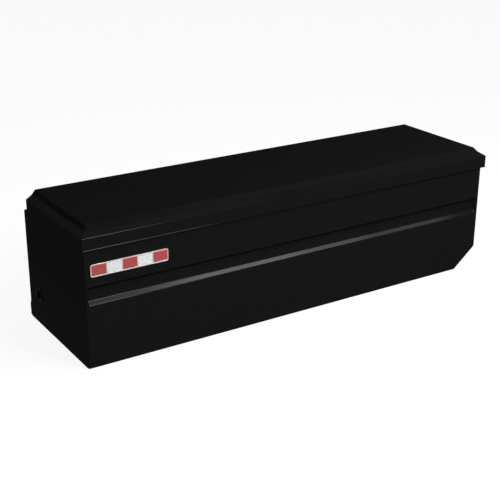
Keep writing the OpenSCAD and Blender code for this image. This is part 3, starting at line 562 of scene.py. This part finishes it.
def turn_in(shape, edges, x_range, y_range, drop=0.0):
    """Extrudes an opening's edge and pulls it in to a rectangle."""
    made = bmesh.ops.extrude_edge_only(shape, edges=edges)["geom"]
    verts = [g for g in made if isinstance(g, bmesh.types.BMVert)]
    for v in verts:
        v.co.x = min(max(v.co.x, x_range[0]), x_range[1])
        v.co.y = min(max(v.co.y, y_range[0]), y_range[1])
        v.co.z -= drop
    bmesh.ops.remove_doubles(shape, verts=verts, dist=SAME)


def open_face(shape, z):
    """Removes the level face at this height and returns the opening's edges."""
    face = max((f for f in shape.faces if abs(f.calc_center_median().z - z) < SAME),
               key=lambda f: f.calc_area())
    edges = list(face.edges)
    bmesh.ops.delete(shape, geom=[face], context="FACES_ONLY")
    return edges


bend(walls, upright_edges(walls, FRONT_Y), FRONT_R, segments=7)
bend(walls, upright_edges(walls, REAR_Y), REAR_R)
bend(walls, upright_edges(walls, RISER_Y), REAR_R)
mouth_x, mouth_y = (RIM_W - HALF_L, HALF_L - RIM_W), (FRONT_Y + RIM_W, RISER_Y - RIM_W)
turn_in(walls, open_face(walls, RIM_Z), mouth_x, mouth_y)
lip = [e for e in level_edges(walls, RIM_Z) if e.is_boundary]
turn_in(walls, lip, mouth_x, mouth_y, drop=LIP_H)
turn_in(walls, open_face(walls, 0.0), (FOOT_W - HALF_L, HALF_L - CUT_L - FOOT_W),
        (FRONT_Y + FOOT_W, REAR_Y - FOOT_W))
bmesh.ops.recalc_face_normals(walls, faces=walls.faces)
folds = [e for e in walls.edges if e.is_manifold and e.calc_face_angle(0.0) > math.radians(30)]
bend(walls, folds, BEND)
bmesh.ops.remove_doubles(walls, verts=walls.verts, dist=SAME)
print(len(folds), "folds bent")

# %% [markdown]
# ## Pressed groove
# A shallow groove runs along the front, pressed into the flat sheet to stiffen it. Its upper
# side turns in sharply and rolls out into the bottom in one wide curve. Its lower side is a
# plain slope that catches the light. It runs out just short of the corners. These sizes are the
# scene's own: the solid's groove has plain sloping sides and is 3 mm shallower.
#
# A groove could be a section swept along the chest, but then it would have to be let into the
# front. Here the flat face is sliced along every line of the section and the points are pressed
# in, so the sheet stays one piece.

# %% Groove's section
GROOVE_LOW, GROOVE_HIGH, GROOVE_DEPTH = 204.0, 266.0, 12.0
GROOVE_SIDE, GROOVE_ROLL = 14.7, 17.5      # heights of the lower slope and of the upper roll
GROOVE_RADII = [12.0, 10.0, 46.0, 10.0]    # from the lower edge up
APRON = 20.0                               # flat sheet that the outermost arcs turn into


def arc_steps(points, radii, steps=7):
    """A section's points with each corner replaced by steps along an arc."""
    out = [Vector(points[0])]
    for a, b, c, r in zip(points, points[1:], points[2:], radii):
        a, b, c = Vector(a), Vector(b), Vector(c)
        u, v = (a - b).normalized(), (c - b).normalized()
        half = math.acos(u.dot(v)) / 2
        centre = b + (u + v).normalized() * r / math.sin(half)
        start, stop = b + u * r / math.tan(half), b + v * r / math.tan(half)
        for k in range(steps + 1):
            way = (start - centre).normalized().slerp((stop - centre).normalized(), k / steps)
            out.append(centre + way * r)
    return out + [Vector(points[-1])]


# each point of the section is its depth and its height
section = arc_steps(
    [(0, GROOVE_LOW - APRON), (0, GROOVE_LOW), (GROOVE_DEPTH, GROOVE_LOW + GROOVE_SIDE),
     (GROOVE_DEPTH, GROOVE_HIGH - GROOVE_ROLL), (0, GROOVE_HIGH), (0, GROOVE_HIGH + APRON)],
    GROOVE_RADII,
)[1:-1]
print(len(section), "lines in the groove's section")

# %% Groove
RUN_OUT, RUN_STEPS = 8.0, 8                # the groove's fading ends, and their slices
SQUARE_ON = 1e-4                           # how far a flat face's normal may be off


def front_faces(shape, low, high):
    """The flat faces of the front between two heights."""
    return [f for f in shape.faces
            if abs(f.normal.y + 1) < SQUARE_ON and abs(f.calc_center_median().y - FRONT_Y) < SAME
            and low <= f.calc_center_median().z <= high]


def press_groove(shape, section):
    """Slices the front along the section's lines and presses the points in."""
    run = HALF_L - FRONT_R
    low, high = section[0].y, section[-1].y
    for end in (low, high):
        slice_at(shape, (0, 0, end), (0, 0, 1), front_faces(shape, 0, RIM_Z))
    for point in section[1:-1]:
        slice_at(shape, (0, 0, point.y), (0, 0, 1), front_faces(shape, low, high))
    for k in range(RUN_STEPS + 1):
        for side in (-1, 1):
            at = side * (run - RUN_OUT * k / RUN_STEPS)
            slice_at(shape, (at, 0, 0), (1, 0, 0), front_faces(shape, low, high))
    depth_at = {round(p.y, 2): p.x for p in section}
    for v in shape.verts:
        depth = depth_at.get(round(v.co.z, 2))
        if depth and abs(v.co.y - FRONT_Y) < THROUGH and abs(v.co.x) < run:
            t = min(1.0, (run - abs(v.co.x)) / RUN_OUT)
            v.co.y += depth * t * t * (3 - 2 * t)


press_groove(walls, section)
print("groove", GROOVE_DEPTH, "mm deep")

# %% [markdown]
# ## Holes in the ends
# The left end has a hole for its rubber plug and the right end one for the lock. A square is
# sliced free round each, and the square's edge is bridged to a circle, which leaves a clean
# round hole in the flat sheet.

# %% Round holes
PLUG_Y, PLUG_Z, PLUG_D = 141.5, 108.0, 46.0
LOCK_Y, LOCK_Z, LOCK_D = -172.0, 320.0, 30.1
HOLE_STEPS = 32    # points round each hole


def round_hole(shape, side, y, z, diameter):
    """Opens a round hole in the left (-1) or right (+1) end."""
    half = 0.75 * diameter    # of the square, which is half as wide again as the hole

    def flat_end():
        return [f for f in shape.faces
                if abs(f.normal.x * side - 1) < SQUARE_ON
                and abs(f.calc_center_median().x - side * HALF_L) < SAME]

    for at, way in (((0, y - half, 0), (0, 1, 0)), ((0, y + half, 0), (0, 1, 0)),
                    ((0, 0, z - half), (0, 0, 1)), ((0, 0, z + half), (0, 0, 1))):
        slice_at(shape, at, way, flat_end())
    middle = Vector((side * HALF_L, y, z))
    square = min(flat_end(), key=lambda f: (f.calc_center_median() - middle).length)
    rim = list(square.edges)
    bmesh.ops.delete(shape, geom=[square], context="FACES_ONLY")
    bmesh.ops.subdivide_edges(shape, edges=rim, cuts=HOLE_STEPS // 4 - 1)
    outer = [e for e in shape.edges if e.is_boundary
             and all((v.co - middle).length < 1.5 * half and abs(v.co.x - middle.x) < SAME
                     for v in e.verts)]
    turn = Matrix.Rotation(math.radians(90), 4, "Y") @ Matrix.Rotation(math.radians(45), 4, "Z")
    ring = bmesh.ops.create_circle(
        shape, cap_ends=False, radius=diameter / 2, segments=HOLE_STEPS,
        matrix=Matrix.Translation(middle) @ turn,
    )["verts"]
    inner = dict.fromkeys(e for v in ring for e in v.link_edges)
    bmesh.ops.bridge_loops(shape, edges=outer + list(inner))


round_hole(walls, -1, PLUG_Y, PLUG_Z, PLUG_D)
round_hole(walls, 1, LOCK_Y, LOCK_Z, LOCK_D)
bmesh.ops.recalc_face_normals(walls, faces=walls.faces)
print(len(walls.faces), "faces in the skin")

# %% [markdown]
# ## Four sheets
# Each face goes to the wall it is nearest to. The front and the rear take the rounded corners
# with them, so the welds lie in the flats of the ends.

# %% Divide the skin
WALLS = {"front": ("front_sheet", "front_panel"), "rear": ("rear_sheet", "rear_panel"),
         "left": ("left_end_sheet", "left_end_panel"),
         "right": ("right_end_sheet", "right_end_panel")}


def nearest_wall(face):
    """The wall whose plane, or rounded corner, a face is nearest to."""
    x, y, z = face.calc_center_median()
    back = RISER_Y if z > LEDGE_Z + 1 else REAR_Y
    gap = {"front": y - FRONT_Y - FRONT_R, "rear": back - y - REAR_R, "left": x + HALF_L,
           "right": min(HALF_L - x, (CUT_FOOT - Vector((x, 0, z))).dot(CUT_SIDE))}
    return min(gap, key=gap.get)


for wall, (name, node) in WALLS.items():
    sheet = walls.copy()
    others = [f for f in sheet.faces if nearest_wall(f) != wall]
    bmesh.ops.delete(sheet, geom=others, context="FACES")
    finish_piece(name, sheet, SHEET, "chest", [node])
walls.free()

# %% [markdown]
# ## Kick rail
# A narrow rail stands off the foot of the rear wall and keeps the chest clear of the bed's
# wall. It is one strip with two folds, so a line of four points is drawn out along the chest.

# %% Kick rail
RAIL_H, RAIL_D = 62.0, 9.0
RAIL_BEND = 1.6


def kick_rail():
    line = [(REAR_Y + RAIL_D, 0), (REAR_Y + RAIL_D, RAIL_H - 2 * RAIL_D),
            (REAR_Y + SHEET, RAIL_H - RAIL_D), (REAR_Y + SHEET, RAIL_H)]
    shape = bmesh.new()
    points = [shape.verts.new((SHEET - HALF_L, y, z)) for y, z in line]
    edges = [shape.edges.new(pair) for pair in zip(points, points[1:])]
    drawn = bmesh.ops.extrude_edge_only(shape, edges=edges)["geom"]
    far = [g for g in drawn if isinstance(g, bmesh.types.BMVert)]
    bmesh.ops.translate(shape, vec=(BODY_L - SHEET, 0, 0), verts=far)
    bend(shape, [e for e in shape.edges if e.is_manifold], RAIL_BEND)
    bmesh.ops.bisect_plane(
        shape, geom=shape.verts[:] + shape.edges[:] + shape.faces[:],
        plane_co=CUT_FOOT - CUT_SIDE * SHEET, plane_no=CUT_SIDE, clear_outer=True, dist=THROUGH,
    )
    outward(shape, (0, 1, 0))
    finish_piece("kick_rail", shape, SHEET, "chest", ["rear_kick_rail"])


kick_rail()

# %% [markdown]
# ## End plug
# A rubber plug closes the cable hole low in the left end. It is a cup with a broad flange, and
# its hollow is deep enough to look black. A turned part is quickest to make by drawing half of
# its section and spinning it once round its axis.

# %% End plug
# radius, and how deep behind the end's face, from the middle of the cup's floor outwards
PLUG_SECTION = [(0, 16), (14.5, 16), (15, 0), (17, -2.6), (24.5, -2.6), (27, -0.8), (27, 0)]
PLUG_WALL, PLUG_BEND = 1.5, 0.7


def plug_cup():
    shape = bmesh.new()
    points = [shape.verts.new((-HALF_L + x, PLUG_Y + r, PLUG_Z)) for r, x in PLUG_SECTION]
    edges = [shape.edges.new(pair) for pair in zip(points, points[1:])]
    bmesh.ops.spin(shape, geom=points + edges, cent=(-HALF_L, PLUG_Y, PLUG_Z), axis=(1, 0, 0),
                   dvec=(0, 0, 0), angle=2 * math.pi, steps=40, use_merge=True)
    bmesh.ops.remove_doubles(shape, verts=shape.verts, dist=SAME)
    bmesh.ops.recalc_face_normals(shape, faces=shape.faces)
    outward(shape, (-1, 0, 0))
    rings = [e for e in shape.edges
             if e.is_manifold and e.calc_face_angle(0.0) > math.radians(30)]
    bend(shape, rings, PLUG_BEND, segments=3)
    finish_piece("plug_cup", shape, PLUG_WALL, "chest", ["end_plug"], rubber)


plug_cup()

# %% [markdown]
# ## Pieces kept from the solids
# Hinge, struts, latches, lock, seal and fittings already have their true shapes, so they stay.
# Each gets the finish of the real part. The larger ones also get a small bevel, because a
# machined or pressed edge always catches a thread of light.

# %% Finishes of the kept pieces
KEPT = [
    (coat, ("floor_panel", "floor_channel_left", "floor_channel_middle", "floor_channel_right",
            "corner_gussets")),
    (zinc, ("bolt_sleeves", "marker_frame", "lid_stiffener_left", "lid_stiffener_middle",
            "lid_stiffener_right", "hinge_pin", "hinge_rivets_body", "hinge_rivets_lid",
            "strut_eye_low_left", "strut_eye_low_right", "strut_eye_top_left",
            "strut_eye_top_right", "strut_post_left", "strut_post_right", "strut_bracket_left",
            "strut_bracket_right", "latch_frame_left", "latch_frame_right", "latch_hook_left",
            "latch_hook_right", "striker_left", "striker_right", "latch_rod", "rod_guides",
            "lock_nut")),
    (steel, ("hinge_leaf_body", "hinge_leaf_lid", "strut_gland_left", "strut_gland_right",
             "hook_pin_left", "hook_pin_right", "hook_spring_left", "hook_spring_right",
             "key_cylinder")),
    (chrome, ("strut_rod_left", "strut_rod_right", "lock_housing", "lock_button")),
    (tube_black, ("strut_tube_left", "strut_tube_right")),
    (rubber, ("rim_seal",)),
    (lens_red, ("marker_lenses_red",)),
    (lens_clear, ("marker_lenses_clear",)),
]
# the width of each bevel in millimetres
BEVELS = {"marker_frame": 0.6, "marker_lenses_red": 0.5, "marker_lenses_clear": 0.5,
          "lock_housing": 0.5, "lock_button": 0.3, "latch_hook_left": 0.5,
          "latch_hook_right": 0.5, "striker_left": 0.5, "striker_right": 0.5,
          "strut_bracket_left": 0.5, "strut_bracket_right": 0.5, "strut_post_left": 0.5,
          "strut_post_right": 0.5}

for finish, names in KEPT:
    for name in names:
        for slot in nodes[name].material_slots:
            slot.material = finish
for name, width in BEVELS.items():
    weld = nodes[name].modifiers.new("weld", "WELD")
    weld.merge_threshold = SAME * MM
    edge = nodes[name].modifiers.new("edge", "BEVEL")
    edge.width = width * MM
    edge.segments = 3
    edge.limit_method = "ANGLE"
    edge.angle_limit = math.radians(40)    # leaves the facets of round parts alone
    edge.harden_normals = True
print(sum(len(names) for _, names in KEPT), "nodes kept")

# %% [markdown]
# ## Floor
# The chest stands on a seamless white floor that keeps its soft shadow. A floor that is white
# by its colour alone throws much light up at the chest, so most of this one's white is a glow
# that only the camera and mirror-like rays see. The rest is a matt grey that shows the shadow.
# Mirror-like rays see the glow fade towards both ends of the chest, as in a studio where only
# the middle of the floor is lit. That keeps the left end and the far end of the front dark.

# %% Floor
FLOOR_GLOW, FLOOR_MATT = 0.88, 0.12            # together they are white
FADE_LEFT, FULL, FADE_RIGHT = -1.1, -0.6, 1.4  # along the chest, in metres
LEAST_LEFT, LEAST_RIGHT = 0.6, 0.4             # what the fading glow falls to


def floor_material():
    material, tree, place = new_material("studio_floor")
    path = add(tree, "LightPath")
    spot = add(tree, "SeparateXYZ", {0: place})
    grow = add(tree, "MapRange", {"Value": spot.outputs["X"], "From Min": FADE_LEFT,
                                  "From Max": FULL, "To Min": LEAST_LEFT},
               interpolation_type="SMOOTHSTEP")
    fall = add(tree, "MapRange", {"Value": spot.outputs["X"], "From Min": FULL,
                                  "From Max": FADE_RIGHT, "To Min": 1.0, "To Max": LEAST_RIGHT})
    mirror = add(tree, "Math", {0: grow.outputs["Result"], 1: fall.outputs["Result"]},
                 operation="MULTIPLY")
    mirror = add(tree, "Math", {0: path.outputs["Is Glossy Ray"], 1: mirror.outputs[0]},
                 operation="MULTIPLY")
    seen = add(tree, "Math", {0: path.outputs["Is Camera Ray"],
                              1: path.outputs["Is Transmission Ray"]}, operation="MAXIMUM")
    seen = add(tree, "Math", {0: seen.outputs[0], 1: FLOOR_GLOW}, operation="MULTIPLY")
    glow = add(tree, "Math", {0: seen.outputs[0], 1: mirror.outputs[0]}, operation="MAXIMUM")
    light = add(tree, "Emission", {"Strength": glow.outputs[0]})
    matt = add(tree, "BsdfDiffuse", {"Color": (FLOOR_MATT, FLOOR_MATT, FLOOR_MATT, 1.0)})
    both = add(tree, "AddShader", {0: light.outputs[0], 1: matt.outputs[0]})
    add(tree, "OutputMaterial", {"Surface": both.outputs[0]})
    return material


def make_floor(radius=60.0):
    shape = bmesh.new()
    bmesh.ops.create_circle(shape, cap_ends=True, radius=radius, segments=96)
    # half a millimetre down, so that the underside of the chest doesn't share its plane
    bmesh.ops.translate(shape, vec=(0, 0, -0.5 * MM), verts=shape.verts)
    mesh = bpy.data.meshes.new("studio_floor")
    shape.to_mesh(mesh)
    shape.free()
    mesh.materials.append(floor_material())
    floor = bpy.data.objects.new("studio_floor", mesh)
    bpy.context.scene.collection.objects.link(floor)
    print(f"floor {2 * radius:.0f} m across")


make_floor()

# %% [markdown]
# ## World
# Where no lamp hangs, gloss mirrors the world. This one is white at the horizon, dark just above
# it, and rises to a dim ceiling that is palest on the right, as in a white room lit from one
# side. A plain white world would be simpler, but the chest would look grey in it. This one keeps
# the lid's top black and parts its facets. The camera sees the world white all over.

# %% World
HORIZON_FULL, HORIZON_GONE = math.radians(11), math.radians(15)
CEILING_RISE, CEILING_RIGHT, CEILING_START = 2.8, 0.2, -0.5
CEILING_LEAST, CEILING_MOST = 0.1, 0.55

world = bpy.data.worlds.new("studio")
bpy.context.scene.world = world
world.use_nodes = True
studio = world.node_tree
way = add(studio, "TexCoord")
parts = add(studio, "SeparateXYZ", {0: way.outputs["Generated"]})
horizon = add(studio, "MapRange", {
    "Value": parts.outputs["Z"], "From Min": math.sin(HORIZON_FULL),
    "From Max": math.sin(HORIZON_GONE), "To Min": 1.0, "To Max": 0.0,
}, interpolation_type="SMOOTHSTEP")
right = add(studio, "Math", {0: parts.outputs["X"], 1: CEILING_RIGHT, 2: CEILING_START},
            operation="MULTIPLY_ADD")
ceiling = add(studio, "Math", {0: parts.outputs["Z"], 1: CEILING_RISE, 2: right.outputs[0]},
              operation="MULTIPLY_ADD")
dim = add(studio, "Clamp", {"Value": ceiling.outputs[0], "Min": CEILING_LEAST,
                            "Max": CEILING_MOST})
room = add(studio, "Math", {0: dim.outputs[0], 1: horizon.outputs["Result"]},
           operation="MAXIMUM")
path = add(studio, "LightPath")
seen = add(studio, "Math", {0: room.outputs[0], 1: path.outputs["Is Camera Ray"]},
           operation="MAXIMUM")
sky = studio.nodes["Background"]
studio.links.new(seen.outputs[0], sky.inputs["Strength"])
sky.inputs["Color"].default_value = (1, 1, 1, 1)
print("ceiling from", CEILING_LEAST, "to", CEILING_MOST, "of white")

# %% [markdown]
# ## Lamps
# Gloss black shows its lamps rather than its own colour, so each lamp hangs where the fold that
# should show it mirrors the camera. The groove's lower slope gets long strips, nested so that
# the highlight is strongest left of the middle and dies away towards both ends. The lid's
# crease and the foot of its skirt get an upright window that only their left ends can see, and
# a lower pane beside it carries the line at the foot a little further. Two dim panels fill the
# lid's top and its left slope.

# %% Lamps
def mirrored(point, normal, distance):
    """Where a lamp must hang to be seen by the camera in a facet at this point."""
    point, normal = Vector(point), Vector(normal).normalized()
    seen = (camera.location - point).normalized()
    return point + distance * (2 * normal.dot(seen) * normal - seen)


def softbox(name, left, right, aim, height, radiance):
    """A lamp as wide as two points are apart, whose face has this radiance (1 is white)."""
    left, right = Vector(left), Vector(right)
    middle, width = (left + right) / 2, (right - left).length
    data = bpy.data.lights.new(name, "AREA")
    data.shape = "RECTANGLE"
    data.size, data.size_y = width, height
    data.energy = radiance * math.pi * width * height
    lamp = bpy.data.objects.new(name, data)
    bpy.context.scene.collection.objects.link(lamp)
    side = (right - left).normalized()
    ahead = Vector(aim) - middle
    ahead = (ahead - side * ahead.dot(side)).normalized()
    up = side.cross(ahead)
    lamp.matrix_world = (Matrix.Translation(middle)
                         @ Matrix((side, up, -ahead)).transposed().to_4x4())


spot = mirrored((0, 0, 0), (0, 0, 1), 1.0)
print("a level facet at the origin shows the camera what hangs at", [round(v, 2) for v in spot])

# %% Strips for the groove
STRIPS = {    # between which places along the groove a strip is seen, and its radiance
    "strip_long": (-0.80, 0.64, 12.0),
    "strip_mid": (-0.58, 0.24, 12.5),
    "strip_short": (-0.46, -0.02, 16.0),
}
STRIP_AWAY, STRIP_H, STRIP_AIM_X = 2.0, 0.24, -0.2
LOWERED = 0.95    # a strip hangs a little low for the slope, so that the lid's crease misses it

slope_way = (0, -GROOVE_SIDE, LOWERED * GROOVE_DEPTH)
slope_y, slope_z = (FRONT_Y + GROOVE_DEPTH / 2) * MM, (GROOVE_LOW + GROOVE_SIDE / 2) * MM
for name, (x0, x1, radiance) in STRIPS.items():
    left, right = (mirrored((x, slope_y, slope_z), slope_way, STRIP_AWAY) for x in (x0, x1))
    softbox(name, left, right, (STRIP_AIM_X, slope_y, slope_z), STRIP_H, radiance)
print(len(STRIPS), "strips")

# %% Window and panels
LID_CORNER = (-0.7, -0.23, 0.42)    # the left end of the crease, which the window lights

softbox("window", left=(0.23, -2.80, 1.92), right=(0.78, -2.80, 1.92), aim=LID_CORNER,
        height=0.85, radiance=32.0)
softbox("pane", left=(0.80, -2.80, 1.60), right=(1.12, -2.80, 1.60), aim=LID_CORNER,
        height=0.45, radiance=20.0)
softbox("top", left=(-1.3, 0.2, 2.9), right=(1.3, 0.2, 2.9), aim=(0, 0.1, 0.4),
        height=1.6, radiance=0.7)
softbox("rear", left=(-2.1, 2.3, 1.98), right=(-0.9, 3.1, 1.98), aim=(-0.79, 0.0, 0.44),
        height=0.7, radiance=0.5)
bpy.context.scene.view_settings.view_transform = "Standard"
print(len(bpy.data.lights), "lamps")
